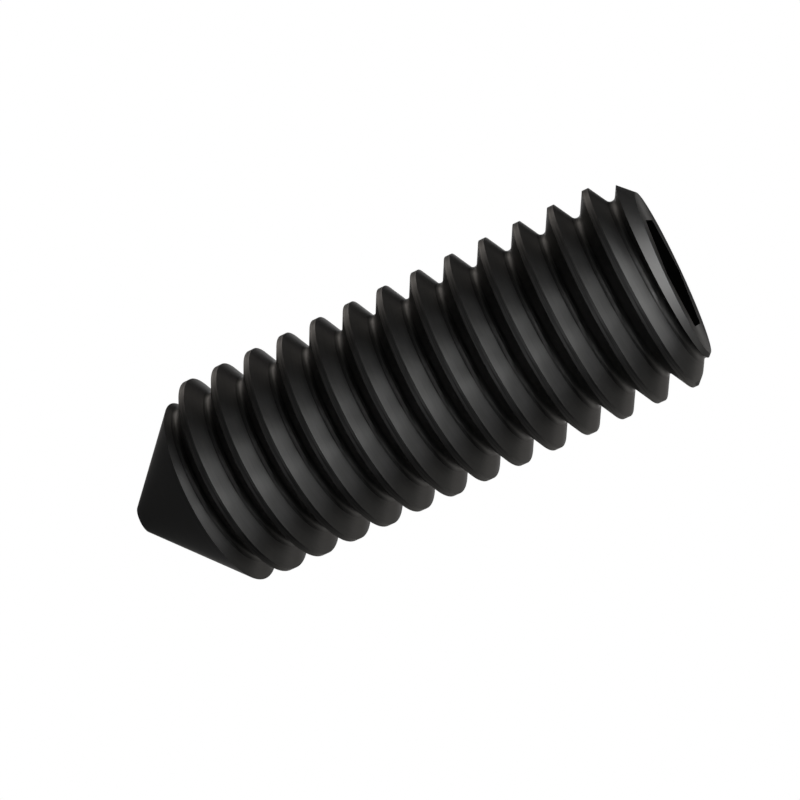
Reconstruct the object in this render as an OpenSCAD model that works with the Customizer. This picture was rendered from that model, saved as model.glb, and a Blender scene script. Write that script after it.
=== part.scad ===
// Cone point set screw with a hexagon socket, standing on its socket end.
// The origin is the centre of the socket end face, and +Z runs up to the cone point.

/* [Thread] */
// Diameter over the crests
major_d = 5.87; // [5.7:0.01:6]
// Axial distance from one crest to the next
pitch = 1; // [0.9:0.01:1.1]
// Width of the flat on top of each crest
crest_w = 0.17; // [0.12:0.005:0.2]
// Radius of the rounded root of the groove
root_r = 0.143; // [0.1:0.001:0.16]
// Angle between the two flanks of the groove
flank_angle = 60; // [55:1:65]
// Angle at which the crest crosses the end face
thread_start = 302; // [0:1:359]

/* [Body] */
// Length over all, from the socket end to the tip
screw_l = 16; // [12:0.5:18]

/* [Socket end] */
// Diameter of the flat ring around the socket
face_d = 4.6; // [4.2:0.05:5]
// Angle between the end chamfer and the axis
chamfer_angle = 45; // [30:1:60]
// Width across the flats of the hexagon socket
socket_af = 3; // [2.4:0.05:3.4]
// Depth of the hexagon's flats
socket_depth = 3.5; // [2:0.1:5]
// Full angle of the drilled bottom below the flats
drill_angle = 120; // [90:1:140]
// Turn of the hexagon about the axis
socket_turn = 30; // [0:1:59]

/* [Cone point] */
// Full angle of the point
cone_angle = 90; // [80:1:120]
// Diameter of the small flat at the tip
tip_d = 0.8; // [0.4:0.05:1.5]

/* [Hidden] */

// Steel turned black by a hot oxide bath
black_oxide = [0.12, 0.12, 0.12];
// Facets of the thread in one turn, and along each rounded root
turn_facets = 48;
root_facets = 4;

major_r = major_d / 2;
half_flank = flank_angle / 2;
// Where the two flanks of a groove would meet if the root were sharp
sharp_r = major_r - (pitch - crest_w) / 2 / tan(half_flank);
root_centre_r = sharp_r + root_r / sin(half_flank);
minor_r = root_centre_r - root_r;

// The blank reaches a little past the crests, so that only its ends cut the thread
blank_r = major_r + 0.1;
chamfer_l = (blank_r - face_d / 2) / tan(chamfer_angle);
cone_l = (blank_r - tip_d / 2) / tan(cone_angle / 2);
// Height at which the cone has cut the groove away
groove_end = screw_l - (minor_r - tip_d / 2) / tan(cone_angle / 2);

// The thread starts a turn below the end face and ends above the last of the groove
first_step = -turn_facets;
last_step = ceil(groove_end / pitch * turn_facets);
steps = last_step - first_step;

// One pitch of the thread in [height, radius], from a crest's upper edge to the next one's
profile = concat(
    [[crest_w / 2, major_r]],
    [for (i = [0 : root_facets])
        let (a = (90 - half_flank) * (2 * i / root_facets - 1))
        [pitch / 2 + root_r * sin(a), root_centre_r - root_r * cos(a)]],
    [[pitch - crest_w / 2, major_r]]
);
profile_n = len(profile);

// The index of a skin point, where the end of a profile is the start of the one a turn above
function skin(step, i) = step * profile_n + i;
function above(step, i) = i < profile_n ? skin(step, i) : skin(step + turn_facets, 0);

// A rod with the thread all along it, ending in a long cone at each end
module thread_rod() {
    skin_points = [for (s = [0 : steps + turn_facets], p = profile)
        let (turn = (s + first_step) / turn_facets, a = thread_start + 360 * turn)
        [p[1] * cos(a), p[1] * sin(a), p[0] + turn * pitch]];
    low = len(skin_points);
    high = low + 1;
    low_point = [0, 0, -3 * pitch];
    high_point = [0, 0, screw_l + 3 * pitch];
    skin_faces = [for (s = [0 : steps - 1], i = [0 : profile_n - 1], half = [0, 1])
        half == 0
            ? [skin(s, i), above(s, i + 1), skin(s + 1, i)]
            : [above(s, i + 1), above(s + 1, i + 1), skin(s + 1, i)]];
    low_faces = concat(
        [for (s = [0 : turn_facets - 1]) [low, skin(s, 0), skin(s + 1, 0)]],
        [for (i = [0 : profile_n - 1]) [low, above(0, i + 1), skin(0, i)]]
    );
    high_faces = concat(
        [for (s = [steps : steps + turn_facets - 1]) [high, skin(s + 1, 0), skin(s, 0)]],
        [for (i = [0 : profile_n - 1]) [high, skin(steps, i), above(steps, i + 1)]]
    );
    polyhedron(
        points = concat(skin_points, [low_point, high_point]),
        faces = concat(skin_faces, low_faces, high_faces)
    );
}

// The turned blank: a flat socket end with its chamfer, and the cone point
module turned_blank() {
    rotate_extrude($fn = 96)
        polygon([
            [0, 0],
            [face_d / 2, 0],
            [blank_r, chamfer_l],
            [blank_r, screw_l - cone_l],
            [tip_d / 2, screw_l],
            [0, screw_l]
        ]);
}

// The hexagon socket, open at the end face, with a drilled cone at its bottom
module hex_socket() {
    corner_r = socket_af / 2 / cos(30);
    drill_r = socket_af / 2;
    drill_l = drill_r / tan(drill_angle / 2);
    rotate([0, 0, socket_turn])
        translate([0, 0, -pitch])
            cylinder(r = corner_r, h = socket_depth + pitch, $fn = 6);
    translate([0, 0, socket_depth])
        cylinder(r1 = drill_r, r2 = 0, h = drill_l, $fn = 48);
}

module set_screw() {
    color(black_oxide)
        difference() {
            intersection() {
                thread_rod();
                turned_blank();
            }
            hex_socket();
        }
}

set_screw();
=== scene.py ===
"""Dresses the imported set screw: a finer mesh, its black oxide finish, and a studio around it."""

import math
from collections import namedtuple

import bpy
import numpy as np
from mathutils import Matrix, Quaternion, Vector


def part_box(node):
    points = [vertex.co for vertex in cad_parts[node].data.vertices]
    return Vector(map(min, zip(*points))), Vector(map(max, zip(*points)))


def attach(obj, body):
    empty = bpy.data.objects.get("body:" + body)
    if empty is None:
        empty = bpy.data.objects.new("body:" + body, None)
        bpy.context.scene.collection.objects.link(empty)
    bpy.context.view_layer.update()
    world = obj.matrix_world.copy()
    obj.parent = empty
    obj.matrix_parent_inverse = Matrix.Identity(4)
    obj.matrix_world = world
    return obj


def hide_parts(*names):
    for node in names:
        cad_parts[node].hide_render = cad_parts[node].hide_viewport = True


bl_info = {
    "name": "Set Screw",
    "version": (1, 0, 0),
    "blender": (4, 5, 0),
    "location": "View3D > Sidebar > Set Screw",
    "description": "Builds a cone point set screw with its black oxide finish, and a studio around it",
    "category": "Add Mesh",
}

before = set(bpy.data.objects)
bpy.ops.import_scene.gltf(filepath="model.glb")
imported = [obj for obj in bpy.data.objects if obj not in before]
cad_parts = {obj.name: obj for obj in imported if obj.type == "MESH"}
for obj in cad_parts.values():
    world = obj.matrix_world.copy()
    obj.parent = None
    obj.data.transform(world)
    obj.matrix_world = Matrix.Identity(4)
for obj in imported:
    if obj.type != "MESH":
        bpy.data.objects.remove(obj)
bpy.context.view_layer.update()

MM = 0.001
MILLIWATT = 0.001
NODE = "set_screw"
FOOT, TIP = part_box(NODE)
CREST_R = max(v.co.xy.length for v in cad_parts[NODE].data.vertices)

# Steps of the mesh: columns round the screw, and points along each stretch of the thread's profile
COLUMNS = 240
FLANK_STEPS = 5
ROOT_STEPS = 8
CONE_RINGS = 6

FLOOR_RADIUS = 200 * MM
FLOOR_SIDES = 96
FLOOR_GAP = 0.05 * MM
PAPER_GRAIN = 2.5 * MM
PAPER_TONES = ((0.80, 0.80, 0.79, 1), (0.84, 0.84, 0.83, 1))
LAMP_DISTANCE = 100 * MM

# Blender's noise lies almost wholly between these two values
NOISE_LOW = 0.3
NOISE_HIGH = 0.7

# The turn of the stretched gloss, in whole turns, that lays it across marks that run round the axis
ACROSS_MARKS = 0.25

# What sets the screw's surfaces apart: their marks, the reflectance seen straight on, the share of it
# that is left at a grazing angle, how metallic they are, how rough, how far the gloss is stretched
# across the marks, and how much the marks change the tone. On some surfaces the reflectance and the
# grazing share are raised as painted light or lowered as painted shade, as marked below.
Surface = namedtuple("Surface", "marks reflectance grazing metallic roughness stretch streaks")
SURFACES = {
    "rolled_crest": Surface("rolling_lines", 0.061, 1.0, 1.0, 0.45, 0.3, 0.45),
    # The socket-side flank faces the lamps; its reflectance, raised over the rest of the rolled thread,
    # is painted light.
    "socket_side_flank": Surface("rolling_lines", 0.092, 1.0, 0.95, 0.45, 0.85, 0.06),
    # The point-side flank faces away from the lamps; its lowered reflectance and grazing share are
    # painted shade.
    "point_side_flank": Surface("rolling_lines", 0.056, 0.65, 0.8, 0.48, 0.6, 0.25),
    # The root's lowered reflectance is painted shade at the bottom of the groove.
    "rolled_root": Surface("rolling_lines", 0.034, 1.0, 0.92, 0.4, 0.7, 0.7),
    # The chamfer's reflectance, over twice the turned cone's, is painted light that brightens the lamps'
    # highlight on it.
    "turned_chamfer": Surface("turning_rings", 0.138, 0.4, 1.0, 0.4, 0.2, 0.1),
    # The end ring's very low reflectance and grazing share are painted shade that keeps the flat ring
    # dark.
    "faced_ring": Surface("turning_rings", 0.010, 0.11, 0.6, 0.3, 0.7, 0.1),
    "turned_cone": Surface("turning_rings", 0.060, 1.0, 0.7, 0.45, 0.85, 0.08),
    # The socket's near-black reflectance and grazing share are painted shade inside the hexagon.
    "pressed_socket": Surface("turning_rings", 0.0015, 0.05, 0.8, 0.6, 0.0, 0.1),
}
SURFACE_NAMES = list(SURFACES)

# Azimuth and elevation are in degrees, the width is in mm and the power in mW
Lamp = namedtuple("Lamp", "name azimuth elevation width power colour")
LAMPS = (
    Lamp("key_wide", -5, -45, 130, 41, (1, 1, 1)),
    Lamp("key_core", -15, -45, 25, 24, (1, 1, 1)),
    Lamp("key_right", 27, -41, 54, 27, (1, 1, 1)),
    Lamp("key_left", -45, -37, 54, 14, (1, 1, 1)),
    Lamp("far_left", -68, -37, 54, 10, (1, 1, 1)),
    Lamp("far_right", 60, -35, 89, 11.5, (1, 1, 1)),
    Lamp("head_on", 175, -78, 89, 35, (1, 1, 1)),
    Lamp("side_right", 114, 4, 130, 10, (1, 0.95, 0.88)),
    Lamp("side_right_core", 125, 13, 54, 8, (1, 0.92, 0.86)),
    Lamp("side_left", -116, -15, 130, 11.4, (1, 0.98, 0.93)),
    Lamp("rear", -158, 7, 130, 9, (1, 0.95, 0.9)),
    Lamp("rear_top", -171, 52, 130, 7, (1, 1, 1)),
)


# Properties


class ScrewSizes(bpy.types.PropertyGroup):
    """Sizes of the screw"""

    length: bpy.props.FloatProperty(
        name="Length", description="From the socket end to the tip",
        default=TIP.z - FOOT.z, unit="LENGTH", precision=5)
    crest_d: bpy.props.FloatProperty(
        name="Thread Diameter", description="Diameter over the crests",
        default=2 * CREST_R, unit="LENGTH", precision=5)
    pitch: bpy.props.FloatProperty(
        name="Pitch", description="Distance from one crest to the next",
        default=1.0 * MM, unit="LENGTH", precision=5)
    crest_w: bpy.props.FloatProperty(
        name="Crest Width", description="Width of the flat on each crest",
        default=0.17 * MM, unit="LENGTH", precision=5)
    root_r: bpy.props.FloatProperty(
        name="Root Radius", description="Radius of the rounded root",
        default=0.143 * MM, unit="LENGTH", precision=5)
    flank_angle: bpy.props.FloatProperty(
        name="Flank Angle", description="Angle between the two flanks of the groove",
        default=math.radians(60), subtype="ANGLE")
    thread_start: bpy.props.FloatProperty(
        name="Thread Start", description="Angle at which the crest crosses the end face",
        default=math.radians(302), subtype="ANGLE")
    face_d: bpy.props.FloatProperty(
        name="Face Diameter", description="Diameter of the flat ring around the socket",
        default=4.6 * MM, unit="LENGTH", precision=5)
    chamfer_angle: bpy.props.FloatProperty(
        name="Chamfer Angle", description="Angle between the end chamfer and the axis",
        default=math.radians(45), subtype="ANGLE")
    socket_af: bpy.props.FloatProperty(
        name="Socket Width", description="Width of the hexagon across its flats",
        default=3.0 * MM, unit="LENGTH", precision=5)
    socket_depth: bpy.props.FloatProperty(
        name="Socket Depth", description="Depth of the hexagon's flats",
        default=3.5 * MM, unit="LENGTH", precision=5)
    drill_angle: bpy.props.FloatProperty(
        name="Bottom Angle", description="Full angle of the cone below the hexagon's flats",
        default=math.radians(120), subtype="ANGLE")
    cone_angle: bpy.props.FloatProperty(
        name="Point Angle", description="Full angle of the cone point",
        default=math.radians(90), subtype="ANGLE")
    tip_d: bpy.props.FloatProperty(
        name="Tip Diameter", description="Diameter of the flat on the tip",
        default=0.8 * MM, unit="LENGTH", precision=5)


class OxideFinish(bpy.types.PropertyGroup):
    """Look of the black oxide"""

    deep_tint: bpy.props.FloatVectorProperty(
        name="Deep Tint", description="Multiplies a surface's reflectance where the oxide is deepest",
        default=(0.94, 0.935, 0.925), min=0, max=2)
    thin_tint: bpy.props.FloatVectorProperty(
        name="Thin Tint", description="Multiplies a surface's reflectance where the oxide is thinnest",
        default=(1.08, 1.075, 1.06), min=0, max=2)
    patch_size: bpy.props.FloatProperty(
        name="Patch Size", description="Size of the cloudy patches",
        default=0.8 * MM, unit="LENGTH", precision=5)
    gloss_change: bpy.props.FloatProperty(
        name="Gloss Change", description="Added roughness where the oxide is thin",
        default=0.04, subtype="FACTOR", min=0, max=1)
    mark_width: bpy.props.FloatProperty(
        name="Mark Width", description="Width of the lines left by rolling and turning",
        default=0.04 * MM, unit="LENGTH", precision=5)
    mark_depth: bpy.props.FloatProperty(
        name="Mark Depth", description="Depth of the lines left by rolling and turning",
        default=0.0003 * MM, unit="LENGTH", precision=6)
    grain_size: bpy.props.FloatProperty(
        name="Grain Size", description="Size of the fine crystalline grain",
        default=0.03 * MM, unit="LENGTH", precision=5)
    grain_depth: bpy.props.FloatProperty(
        name="Grain Depth", description="Height of the fine crystalline grain",
        default=0.0004 * MM, unit="LENGTH", precision=6)


class StudioSetup(bpy.types.PropertyGroup):
    """Camera and lights of the studio"""

    lens: bpy.props.FloatProperty(
        name="Lens", description="Focal length in millimetres on a 36 mm frame", default=100.0)
    distance: bpy.props.FloatProperty(
        name="Distance", description="From the camera to the middle of the screw",
        default=59.46 * MM, unit="LENGTH", precision=5)
    aim_height: bpy.props.FloatProperty(
        name="Aim Height", description="Height on the screw's axis that the camera looks at",
        default=8.03 * MM, unit="LENGTH", precision=5)
    azimuth: bpy.props.FloatProperty(
        name="Azimuth", description="Turn of the camera round the screw, from the front",
        default=math.radians(-0.9), subtype="ANGLE")
    elevation: bpy.props.FloatProperty(
        name="Elevation", description="Rise of the camera over the level of its aim",
        default=math.radians(-12.95), subtype="ANGLE")
    roll: bpy.props.FloatProperty(
        name="Roll", description="Turn of the camera about its own line of sight",
        default=math.radians(-115.0), subtype="ANGLE")
    light_level: bpy.props.FloatProperty(
        name="Light Level", description="Multiplies the power of every lamp", default=1.03)
    fill: bpy.props.FloatProperty(
        name="Fill", description="Strength of the even light from all sides", default=0.01)
    backdrop_edge: bpy.props.FloatProperty(
        name="Backdrop Edge",
        description="Cosine of the angle at which the mirrored backdrop ends, from straight behind",
        default=0.93)
    floor_glow: bpy.props.FloatProperty(
        name="Floor Glow", description="Strength added to the floor where the camera sees it",
        default=0.6)


# Mesh of the screw


def arc(centre_h, centre_r, radius, start, end, steps):
    """Points (height, radius) of an arc, where an angle of 0 points away from the axis."""
    turns = [start + (end - start) * i / steps for i in range(steps + 1)]
    return [(centre_h + radius * math.sin(a), centre_r + radius * math.cos(a)) for a in turns]


def between(first, last, steps):
    """Points inside the straight stretch from first to last, without its ends."""
    return [
        tuple(a + (b - a) * i / steps for a, b in zip(first, last))
        for i in range(1, steps)
    ]


def thread_profile(sizes):
    """One pitch of the thread in (height, radius), from the middle of a crest to the next."""
    lean = math.pi / 2 - sizes.flank_angle / 2
    crest_r = sizes.crest_d / 2
    sharp_r = crest_r - (sizes.pitch - sizes.crest_w) / 2 / math.tan(sizes.flank_angle / 2)
    root_centre = sharp_r + sizes.root_r / math.sin(sizes.flank_angle / 2)
    corner = (sizes.crest_w / 2, crest_r)
    root = arc(sizes.pitch / 2, root_centre, sizes.root_r, math.pi + lean, math.pi, ROOT_STEPS // 2)
    half = [(0.0, crest_r), corner] + between(corner, root[0], FLANK_STEPS) + root
    other = [(sizes.pitch - h, r) for h, r in half[-2:0:-1]]
    return half + other


def thread_kinds():
    """The surface of each stretch between two points of the profile, and from its last to its end."""
    return (
        ["rolled_crest"]
        + ["point_side_flank"] * FLANK_STEPS
        + ["rolled_root"] * ROOT_STEPS
        + ["socket_side_flank"] * FLANK_STEPS
        + ["rolled_crest"]
    )


def groove_root_r(sizes):
    """Radius of the bottom of the groove."""
    return min(r for h, r in thread_profile(sizes))


def blank_radius(sizes, z):
    """Radius of the turned blank's chamfer and cone at the heights z, with no barrel between them."""
    chamfer = sizes.face_d / 2 + z * math.tan(sizes.chamfer_angle)
    cone = sizes.tip_d / 2 + (sizes.length - z) * math.tan(sizes.cone_angle / 2)
    return np.minimum(chamfer, cone)


class Skin:
    """A mesh that is put together from one section of the screw for each column round its axis."""

    def __init__(self):
        self.points = []
        self.faces = []
        self.kinds = []
        self.sharp = set()
        self.angles = [2 * math.pi * k / COLUMNS for k in range(COLUMNS)]

    def ring(self, z, radii):
        """Adds one closed ring at height z, with a radius for all columns or one for each."""
        first = len(self.points)
        for k, a in enumerate(self.angles):
            r = radii if isinstance(radii, float) else radii[k]
            self.points.append((r * math.cos(a), r * math.sin(a), z))
        return list(range(first, first + COLUMNS))

    def point(self, z):
        """Adds one point on the axis, which stands for a whole ring."""
        self.points.append((0.0, 0.0, z))
        return [len(self.points) - 1] * COLUMNS

    def face(self, corners, kind):
        """Adds a face, without the corners that fall together."""
        kept = [c for i, c in enumerate(corners) if c != corners[i - 1]]
        if len(set(kept)) > 2:
            self.faces.append(kept)
            self.kinds.append(SURFACE_NAMES.index(kind))

    def band(self, low, high, kind):
        """Joins two rings with faces that look outwards where high lies above low."""
        for k in range(COLUMNS):
            n = (k + 1) % COLUMNS
            self.face([low[k], low[n], high[n], high[k]], kind)

    def crease(self, start, end):
        """Marks the edge between two points as sharp."""
        self.sharp.add(frozenset((int(start), int(end))))

    def crease_ring(self, ring):
        """Marks all edges of a ring as sharp."""
        for k in range(COLUMNS):
            self.crease(ring[k], ring[(k + 1) % COLUMNS])

    def object(self, name, materials):
        """Makes the Blender object."""
        mesh = bpy.data.meshes.new(name)
        mesh.from_pydata(self.points, [], self.faces)
        for material in materials:
            mesh.materials.append(material)
        mesh.polygons.foreach_set("material_index", self.kinds)
        mesh.polygons.foreach_set("use_smooth", [True] * len(self.faces))
        marks = [frozenset(e.vertices) in self.sharp for e in mesh.edges]
        mesh.edges.foreach_set("use_edge_sharp", marks)
        mesh.update()
        made = bpy.data.objects.new(name, mesh)
        bpy.context.scene.collection.objects.link(made)
        return made


def thread_grid(sizes, top_z):
    """Heights and radii of the thread's rows in every column, from below the foot to past top_z."""
    profile = thread_profile(sizes)
    turns = math.ceil(top_z / sizes.pitch) + 3
    heights = np.array([h + (n - 1) * sizes.pitch for n in range(turns) for h, r in profile])
    radii = np.array([r for n in range(turns) for h, r in profile])
    lift = sizes.pitch * (np.arange(COLUMNS) / COLUMNS - sizes.thread_start / (2 * math.pi))
    return heights[None, :] + lift[:, None], np.repeat(radii[None, :], COLUMNS, axis=0)


def turn_down(sizes, z, thread_r):
    """Cuts the grid to the blank. Gives the radii, what lies on the blank, and what on its crossings."""
    blank_r = blank_radius(sizes, z)
    over = thread_r - blank_r
    r = np.minimum(thread_r, blank_r)

    # Where the thread runs out into the chamfer or the cone, the nearest row moves onto the crossing
    crossing = np.zeros(z.shape, bool)
    column, row = np.nonzero((over[:, :-1] < 0) != (over[:, 1:] < 0))
    share = over[column, row] / (over[column, row] - over[column, row + 1])
    cross_z = z[column, row] + share * (z[column, row + 1] - z[column, row])
    nearest = np.where(share < 0.5, row, row + 1)
    z[column, nearest] = cross_z
    r[column, nearest] = blank_radius(sizes, cross_z)
    crossing[column, nearest] = True
    return r, over >= 0, crossing


def add_thread(skin, sizes, foot, top, top_z):
    """Adds the helical rows of the thread between the ring at the foot and the ring at top_z."""
    kinds = thread_kinds()
    per_turn = len(kinds)
    z, thread_r = thread_grid(sizes, top_z)
    r, on_blank, crossing = turn_down(sizes, z, thread_r)
    crossing &= (z > 0) & (z < top_z)

    # Each point's place in the mesh, where all that lies past an end falls onto the ring there
    index = np.empty(z.shape, int)
    for k, m in np.ndindex(z.shape):
        if z[k, m] <= 0:
            index[k, m] = foot[k]
        elif z[k, m] >= top_z:
            index[k, m] = top[k]
        else:
            index[k, m] = len(skin.points)
            a = skin.angles[k]
            skin.points.append((r[k, m] * math.cos(a), r[k, m] * math.sin(a), z[k, m]))

    def add(cells, kind):
        if all(on_blank[c] or crossing[c] for c in cells):
            kind = "turned_chamfer" if z[cells[0]] < sizes.length / 2 else "turned_cone"
        skin.face([int(index[c]) for c in cells], kind)

    # The last column joins the first one a whole turn of the thread further up
    for k in range(COLUMNS):
        n = (k + 1) % COLUMNS
        shift = 0 if n else per_turn
        for m in range(z.shape[1] - 1 - shift):
            a, b, c, d = (k, m), (n, m + shift), (n, m + shift + 1), (k, m + 1)
            kind = kinds[m % per_turn]
            on_crest_corner = m % per_turn in (1, per_turn - 1)
            if on_crest_corner or (crossing[a] and crossing[b]):
                skin.crease(index[a], index[b])
            if crossing[a] and crossing[c] and not crossing[b] and not crossing[d]:
                skin.crease(index[a], index[c])
                add([a, b, c], kind)
                add([a, c, d], kind)
            elif crossing[b] and crossing[d] and not crossing[a] and not crossing[c]:
                skin.crease(index[b], index[d])
                add([a, b, d], kind)
                add([b, c, d], kind)
            else:
                add([a, b, c, d], kind)


def add_socket(skin, sizes, foot):
    """Adds the flat ring, the hexagon and the cone at its bottom, inwards from the ring at the foot."""
    half = sizes.socket_af / 2
    sixth = math.pi / 3
    hexagon = [half / math.cos((a + sixth / 2) % sixth - sixth / 2) for a in skin.angles]
    drill_l = half / math.tan(sizes.drill_angle / 2)
    mouth = skin.ring(0.0, hexagon)
    floor = skin.ring(sizes.socket_depth, hexagon)
    middle = skin.ring(0.0, [(r + sizes.face_d / 2) / 2 for r in hexagon])
    bore = skin.ring(sizes.socket_depth, half)
    skin.band(middle, foot, "faced_ring")
    skin.band(mouth, middle, "faced_ring")
    skin.band(floor, mouth, "pressed_socket")
    skin.band(bore, floor, "pressed_socket")
    inner = bore
    for share in (2 / 3, 1 / 3):
        ring = skin.ring(sizes.socket_depth + drill_l * (1 - share), half * share)
        skin.band(ring, inner, "pressed_socket")
        inner = ring
    skin.band(skin.point(sizes.socket_depth + drill_l), inner, "pressed_socket")
    for ring in (foot, mouth, floor, bore):
        skin.crease_ring(ring)

    # The hexagon's six corners
    for k in range(COLUMNS // 12, COLUMNS, COLUMNS // 6):
        skin.crease(mouth[k], floor[k])


def add_point(skin, sizes, top, top_z):
    """Adds the cone above the last of the groove, and the flat on its tip."""
    low = top
    tip_r = sizes.tip_d / 2
    rise = (sizes.length - top_z) / CONE_RINGS
    for i in range(1, CONE_RINGS + 1):
        z = top_z + i * rise
        ring = skin.ring(z, tip_r + (sizes.length - z) * math.tan(sizes.cone_angle / 2))
        skin.band(low, ring, "turned_cone")
        low = ring
    skin.crease_ring(low)
    inner = skin.ring(sizes.length, tip_r / 2)
    skin.band(low, inner, "turned_cone")
    skin.band(inner, skin.point(sizes.length), "turned_cone")


def build_screw(sizes, materials):
    """Makes the whole screw, standing on its socket end."""
    skin = Skin()
    cone = math.tan(sizes.cone_angle / 2)
    clear = 0.05 * sizes.pitch
    top_r = groove_root_r(sizes) - clear
    top_z = sizes.length - (top_r - sizes.tip_d / 2) / cone
    foot = skin.ring(0.0, sizes.face_d / 2)
    top = skin.ring(top_z, top_r)
    add_thread(skin, sizes, foot, top, top_z)
    add_socket(skin, sizes, foot)
    add_point(skin, sizes, top, top_z)
    screw = skin.object("screw", materials)
    weighted = screw.modifiers.new("even_shading", "WEIGHTED_NORMAL")
    weighted.keep_sharp = True
    return screw


# Finish


FLOAT = "NodeSocketFloat"
COLOUR = "NodeSocketColor"


def add_node(tree, kind, inputs=None, **settings):
    """Adds a node, whose inputs are values or other nodes' outputs."""
    node = tree.nodes.new(kind)
    for name, value in settings.items():
        setattr(node, name, value)
    for key, value in (inputs or {}).items():
        if isinstance(value, bpy.types.NodeSocket):
            tree.links.new(value, node.inputs[key])
        else:
            node.inputs[key].default_value = value
    return node


def maths(tree, operation, *values):
    """Adds a Math node and gives its result."""
    node = add_node(tree, "ShaderNodeMath", dict(enumerate(values)), operation=operation)
    return node.outputs[0]


def new_group(name, inputs, outputs):
    """Starts a node group, and gives it with what comes in and what goes out."""
    tree = bpy.data.node_groups.new(name, "ShaderNodeTree")
    for label, kind, default in inputs:
        socket = tree.interface.new_socket(label, in_out="INPUT", socket_type=kind)
        socket.default_value = default
    for label, kind in outputs:
        tree.interface.new_socket(label, in_out="OUTPUT", socket_type=kind)
    given = add_node(tree, "NodeGroupInput").outputs
    result = add_node(tree, "NodeGroupOutput").inputs
    return tree, given, result


def place_in_mm(tree):
    """The place on the screw in millimetres, with the origin at its socket end."""
    place = add_node(tree, "ShaderNodeTexCoord").outputs["Object"]
    return add_node(
        tree, "ShaderNodeVectorMath", {0: place, "Scale": 1 / MM}, operation="SCALE").outputs[0]


def around_axis(tree):
    """A place on the screw as its height, its radius, and the cosine and sine of its turn."""
    split = add_node(tree, "ShaderNodeSeparateXYZ", {0: place_in_mm(tree)}).outputs
    squares = [maths(tree, "MULTIPLY", split[i], split[i]) for i in (0, 1)]
    radius = maths(tree, "SQRT", maths(tree, "ADD", *squares))
    off_axis = maths(tree, "MAXIMUM", radius, 0.01)
    cosine, sine = [maths(tree, "DIVIDE", split[i], off_axis) for i in (0, 1)]
    return split[2], radius, cosine, sine


def add_oxide_mottle():
    """Cloudy patches of the black oxide, and the change of gloss that goes with them."""
    tree, given, result = new_group(
        "oxide_mottle",
        (("Deep", COLOUR, (0.03, 0.03, 0.03, 1)), ("Thin", COLOUR, (0.05, 0.05, 0.05, 1)),
         ("Gloss", FLOAT, 0.3), ("Dull", FLOAT, 0.4), ("Patch Size", FLOAT, 0.8)),
        (("Color", COLOUR), ("Roughness", FLOAT)))
    clouds = add_node(
        tree, "ShaderNodeTexNoise",
        {"Vector": place_in_mm(tree), "Scale": maths(tree, "DIVIDE", 1.0, given["Patch Size"]),
         "Detail": 5.0, "Roughness": 0.62})
    share = add_node(
        tree, "ShaderNodeMapRange",
        {"Value": clouds.outputs[0], "From Min": NOISE_LOW, "From Max": NOISE_HIGH}).outputs[0]
    colour = add_node(
        tree, "ShaderNodeMix", {0: share, 6: given["Deep"], 7: given["Thin"]}, data_type="RGBA")
    tree.links.new(colour.outputs[2], result["Color"])
    gloss = add_node(
        tree, "ShaderNodeMapRange",
        {"Value": share, "To Min": given["Gloss"], "To Max": given["Dull"]})
    tree.links.new(gloss.outputs[0], result["Roughness"])


def add_fine_grain():
    """The fine crystalline grain of the oxide, as a height."""
    tree, given, result = new_group(
        "fine_grain", (("Grain Size", FLOAT, 0.03), ("Depth", FLOAT, 1.0)), (("Height", FLOAT),))
    grain = add_node(
        tree, "ShaderNodeTexNoise",
        {"Vector": place_in_mm(tree), "Scale": maths(tree, "DIVIDE", 1.0, given["Grain Size"]),
         "Detail": 2.0})
    tree.links.new(maths(tree, "MULTIPLY", grain.outputs[0], given["Depth"]), result["Height"])


def new_marks_group(name):
    """Starts a node group for marks left by a tool, which give a height and a tone around 1."""
    return new_group(
        name, (("Line Width", FLOAT, 0.04), ("Depth", FLOAT, 1.0), ("Streaks", FLOAT, 0.1)),
        (("Height", FLOAT), ("Tone", FLOAT)))


def put_out_marks(tree, given, result, noise):
    """Puts out a noise as the height of the marks and as their tone."""
    tree.links.new(maths(tree, "MULTIPLY", noise, given["Depth"]), result["Height"])
    tone = add_node(
        tree, "ShaderNodeMapRange",
        {"Value": noise, "From Min": NOISE_LOW, "From Max": NOISE_HIGH,
         "To Min": maths(tree, "SUBTRACT", 1.0, given["Streaks"]),
         "To Max": maths(tree, "ADD", 1.0, given["Streaks"])})
    tree.links.new(tone.outputs[0], result["Tone"])


def add_turning_rings():
    """Fine rings round the axis, as a turning tool leaves them on the ends."""
    tree, given, result = new_marks_group("turning_rings")
    height, radius, cosine, sine = around_axis(tree)
    out = maths(tree, "DIVIDE", maths(tree, "SUBTRACT", radius, height), given["Line Width"])
    place = add_node(tree, "ShaderNodeCombineXYZ", {0: out, 1: cosine, 2: sine}).outputs[0]
    rings = add_node(tree, "ShaderNodeTexNoise", {"Vector": place, "Scale": 1.0, "Detail": 2.0})
    put_out_marks(tree, given, result, rings.outputs[0])


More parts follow.
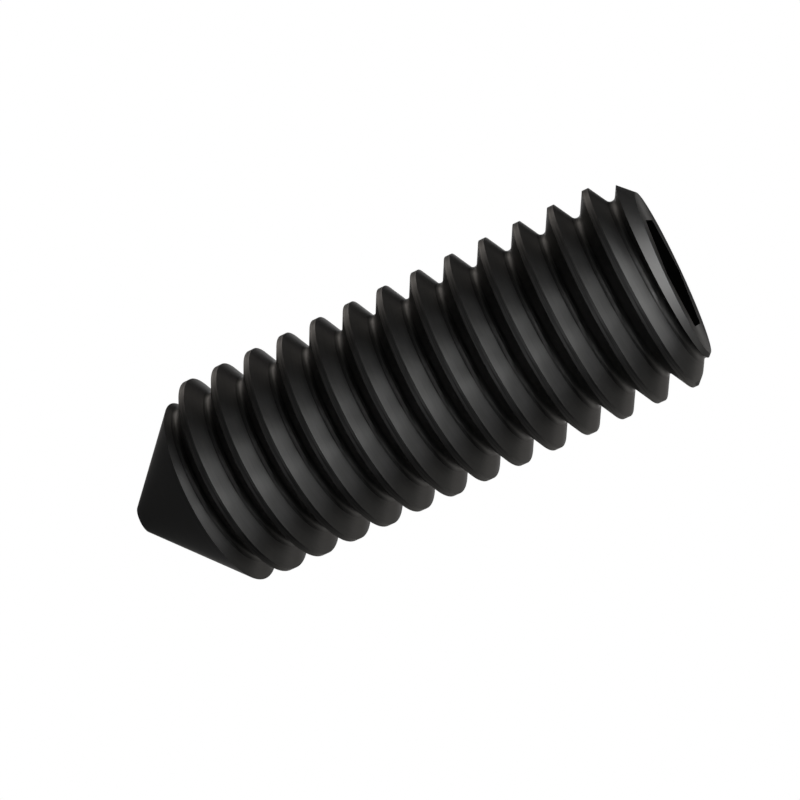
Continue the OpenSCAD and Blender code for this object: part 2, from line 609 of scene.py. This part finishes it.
def add_rolling_lines(sizes):
    """Fine lines that thread rolling draws out along the helix."""
    tree, given, result = new_marks_group("rolling_lines")
    height, radius, cosine, sine = around_axis(tree)
    pitch = sizes.pitch / MM
    turn = maths(tree, "DIVIDE", maths(tree, "ARCTAN2", sine, cosine), 2 * math.pi)
    turned = maths(tree, "SUBTRACT", turn, sizes.thread_start / (2 * math.pi))
    on_thread = maths(tree, "SUBTRACT", height, maths(tree, "MULTIPLY", turned, pitch))
    across = maths(tree, "DIVIDE", maths(tree, "WRAP", on_thread, pitch, 0.0), given["Line Width"])
    deep = maths(tree, "DIVIDE", radius, given["Line Width"])
    changes_in_a_radian = 3.0
    place = add_node(
        tree, "ShaderNodeCombineXYZ",
        {0: across, 1: deep, 2: maths(tree, "MULTIPLY", cosine, changes_in_a_radian)}).outputs[0]
    lines = add_node(
        tree, "ShaderNodeTexNoise",
        {"Vector": place, "W": maths(tree, "MULTIPLY", sine, changes_in_a_radian),
         "Scale": 1.0, "Detail": 2.0},
        noise_dimensions="4D")
    put_out_marks(tree, given, result, lines.outputs[0])


def group_node(tree, name, **values):
    """Places one of the node groups in a material, with its own values."""
    inputs = {label.replace("_", " ").title(): value for label, value in values.items()}
    return add_node(tree, "ShaderNodeGroup", inputs, node_tree=bpy.data.node_groups[name]).outputs


def steel_finish(name, finish):
    """Black oxide on one of the screw's surfaces, with the marks of the way in which it was made, and
    the painted light or shade that some surfaces carry in their reflectance.
    """
    surface = SURFACES[name]
    material = bpy.data.materials.new(name)
    material.use_nodes = True
    tree = material.node_tree
    shader = tree.nodes["Principled BSDF"]
    shader.inputs["Metallic"].default_value = surface.metallic
    shader.inputs["Specular Tint"].default_value = [surface.grazing] * 3 + [1]
    shader.inputs["Anisotropic"].default_value = surface.stretch
    shader.inputs["Anisotropic Rotation"].default_value = ACROSS_MARKS
    # The base colour is the surface's reflectance, which holds painted light or shade on some surfaces,
    # times the oxide's tints.
    deep, thin = [
        [surface.reflectance * share for share in tint] + [1]
        for tint in (finish.deep_tint, finish.thin_tint)]
    oxide = group_node(
        tree, "oxide_mottle", deep=deep, thin=thin, gloss=surface.roughness,
        dull=surface.roughness + finish.gloss_change, patch_size=finish.patch_size / MM)
    grain = group_node(
        tree, "fine_grain", grain_size=finish.grain_size / MM, depth=finish.grain_depth / MM)
    marks = group_node(
        tree, surface.marks, line_width=finish.mark_width / MM, depth=finish.mark_depth / MM,
        streaks=surface.streaks)
    colour = add_node(
        tree, "ShaderNodeVectorMath", {0: oxide["Color"], "Scale": marks["Tone"]}, operation="SCALE")
    height = maths(tree, "ADD", grain["Height"], marks["Height"])
    bump = add_node(tree, "ShaderNodeBump", {"Height": height, "Strength": 1.0, "Distance": MM})
    around = add_node(tree, "ShaderNodeTangent", direction_type="RADIAL", axis="Z")
    for source, socket in (
            (colour.outputs[0], "Base Color"),
            (oxide["Roughness"], "Roughness"),
            (bump.outputs["Normal"], "Normal"),
            (around.outputs[0], "Tangent")):
        tree.links.new(source, shader.inputs[socket])
    return material


# Studio


def aim_point(setup):
    """The point on the screw's axis that the camera and the lamps look at."""
    return Vector((0, 0, FOOT.z + setup.aim_height))


def seen_from(azimuth, elevation):
    """The direction from the screw to someone at this azimuth and elevation, where 0, 0 is the front."""
    return Vector((
        math.sin(azimuth) * math.cos(elevation),
        -math.cos(azimuth) * math.cos(elevation),
        math.sin(elevation),
    ))


def add_camera(scene, setup):
    """Adds the camera at the photograph's viewing angle."""
    data = bpy.data.cameras.new("camera")
    data.lens = setup.lens
    data.sensor_width = 36
    data.clip_start = 1 * MM
    data.clip_end = 10
    camera = bpy.data.objects.new("camera", data)
    back = seen_from(setup.azimuth, setup.elevation)
    camera.location = aim_point(setup) + back * setup.distance
    camera.rotation_mode = "QUATERNION"
    look = (-back).to_track_quat("-Z", "Y")
    camera.rotation_quaternion = look @ Quaternion((0, 0, 1), setup.roll)
    scene.collection.objects.link(camera)
    scene.camera = camera


def add_lamps(scene, setup):
    """Adds the soft lamps, which all face the screw."""
    for lamp in LAMPS:
        data = bpy.data.lights.new(lamp.name, "AREA")
        data.shape = "DISK"
        data.size = lamp.width * MM
        data.energy = lamp.power * MILLIWATT * setup.light_level
        data.color = lamp.colour
        made = bpy.data.objects.new(lamp.name, data)
        out = seen_from(math.radians(lamp.azimuth), math.radians(lamp.elevation))
        made.location = aim_point(setup) + out * LAMP_DISTANCE
        made.rotation_mode = "QUATERNION"
        made.rotation_quaternion = out.to_track_quat("Z", "Y")
        made.visible_camera = False
        scene.collection.objects.link(made)


def floor_paint(setup):
    """A pale floor that is seen from above only, and lets the light of lamps below its level through."""
    material = bpy.data.materials.new("pale_floor")
    material.use_nodes = True
    tree = material.node_tree
    tree.nodes.remove(tree.nodes["Principled BSDF"])
    place = add_node(tree, "ShaderNodeTexCoord").outputs["Object"]
    paper = add_node(
        tree, "ShaderNodeTexNoise", {"Vector": place, "Scale": 1 / PAPER_GRAIN, "Detail": 3.0})
    tone = add_node(
        tree, "ShaderNodeMix",
        {0: paper.outputs[0], 6: PAPER_TONES[0], 7: PAPER_TONES[1]}, data_type="RGBA")
    paint = add_node(tree, "ShaderNodeBsdfDiffuse", {"Color": tone.outputs[2]})
    glow = add_node(
        tree, "ShaderNodeEmission", {"Color": (1, 1, 1, 1), "Strength": setup.floor_glow})
    lit = add_node(tree, "ShaderNodeAddShader", {0: paint.outputs[0], 1: glow.outputs[0]})
    path = add_node(tree, "ShaderNodeLightPath")
    behind = add_node(tree, "ShaderNodeNewGeometry").outputs["Backfacing"]
    shown = maths(
        tree, "MULTIPLY", path.outputs["Is Camera Ray"], maths(tree, "SUBTRACT", 1.0, behind))
    clear = add_node(tree, "ShaderNodeBsdfTransparent")
    mix = add_node(
        tree, "ShaderNodeMixShader", {0: shown, 1: clear.outputs[0], 2: lit.outputs[0]})
    tree.links.new(mix.outputs[0], tree.nodes["Material Output"].inputs["Surface"])
    return material


def add_floor(scene, setup):
    """Adds the round floor that the screw stands on."""
    turns = [2 * math.pi * i / FLOOR_SIDES for i in range(FLOOR_SIDES)]
    level = FOOT.z - FLOOR_GAP
    rim = [(FLOOR_RADIUS * math.cos(a), FLOOR_RADIUS * math.sin(a), level) for a in turns]
    mesh = bpy.data.meshes.new("floor")
    mesh.from_pydata(rim, [], [tuple(range(FLOOR_SIDES))])
    mesh.materials.append(floor_paint(setup))
    floor = bpy.data.objects.new("floor", mesh)
    scene.collection.objects.link(floor)


def add_world(scene, setup):
    """Adds the surroundings: white where the camera looks, and a white backdrop behind the screw."""
    world = bpy.data.worlds.new("studio")
    world.use_nodes = True
    tree = world.node_tree
    dim = tree.nodes["Background"]
    dim.inputs["Color"].default_value = (1, 1, 1, 1)
    dim.inputs["Strength"].default_value = setup.fill
    white = add_node(tree, "ShaderNodeBackground", {"Color": (1, 1, 1, 1), "Strength": 1.0})
    path = add_node(tree, "ShaderNodeLightPath").outputs
    toward = add_node(tree, "ShaderNodeTexCoord").outputs["Generated"]
    ahead = add_node(
        tree, "ShaderNodeVectorMath",
        {0: toward, 1: -seen_from(setup.azimuth, setup.elevation)}, operation="DOT_PRODUCT")
    backdrop = add_node(
        tree, "ShaderNodeMapRange",
        {"Value": ahead.outputs["Value"], "From Min": setup.backdrop_edge, "From Max": 1.0},
        interpolation_type="SMOOTHSTEP").outputs[0]
    shown = maths(
        tree, "MAXIMUM", maths(tree, "MAXIMUM", path["Is Camera Ray"], path["Is Transmission Ray"]),
        maths(tree, "MULTIPLY", path["Is Glossy Ray"], backdrop))
    mix = add_node(
        tree, "ShaderNodeMixShader", {0: shown, 1: dim.outputs[0], 2: white.outputs[0]})
    tree.links.new(mix.outputs[0], tree.nodes["World Output"].inputs["Surface"])
    scene.world = world


# Operators


class SETSCREW_OT_screw(bpy.types.Operator):
    """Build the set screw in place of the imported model"""

    bl_idname = "setscrew.screw"
    bl_label = "Build Screw"

    def execute(self, context):
        sizes = context.scene.screw_sizes
        finish = context.scene.screw_finish
        add_oxide_mottle()
        add_fine_grain()
        add_turning_rings()
        add_rolling_lines(sizes)
        screw = build_screw(sizes, [steel_finish(name, finish) for name in SURFACES])
        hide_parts(NODE)
        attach(screw, "root")
        return {"FINISHED"}


class SETSCREW_OT_studio(bpy.types.Operator):
    """Build the floor, the lamps, the surroundings and the camera"""

    bl_idname = "setscrew.studio"
    bl_label = "Build Studio"

    def execute(self, context):
        scene = context.scene
        setup = scene.screw_studio
        add_camera(scene, setup)
        add_lamps(scene, setup)
        add_floor(scene, setup)
        add_world(scene, setup)
        scene.view_settings.view_transform = "Standard"
        return {"FINISHED"}


class SETSCREW_PT_panel(bpy.types.Panel):
    """Lists the screw's sizes and the studio"""

    bl_idname = "SETSCREW_PT_panel"
    bl_label = "Set Screw"
    bl_space_type = "VIEW_3D"
    bl_region_type = "UI"
    bl_category = "Set Screw"

    def draw(self, context):
        scene = context.scene
        for group in (scene.screw_sizes, scene.screw_finish, scene.screw_studio):
            for name in group.__annotations__:
                self.layout.prop(group, name)
        self.layout.operator(SETSCREW_OT_screw.bl_idname)
        self.layout.operator(SETSCREW_OT_studio.bl_idname)


CLASSES = (
    ScrewSizes,
    OxideFinish,
    StudioSetup,
    SETSCREW_OT_screw,
    SETSCREW_OT_studio,
    SETSCREW_PT_panel,
)


def register():
    for cls in CLASSES:
        bpy.utils.register_class(cls)
    bpy.types.Scene.screw_sizes = bpy.props.PointerProperty(type=ScrewSizes)
    bpy.types.Scene.screw_finish = bpy.props.PointerProperty(type=OxideFinish)
    bpy.types.Scene.screw_studio = bpy.props.PointerProperty(type=StudioSetup)


def unregister():
    del bpy.types.Scene.screw_studio
    del bpy.types.Scene.screw_finish
    del bpy.types.Scene.screw_sizes
    for cls in reversed(CLASSES):
        bpy.utils.unregister_class(cls)


def main():
    register()
    bpy.ops.setscrew.screw()
    bpy.ops.setscrew.studio()


if __name__ == "__main__":
    main()
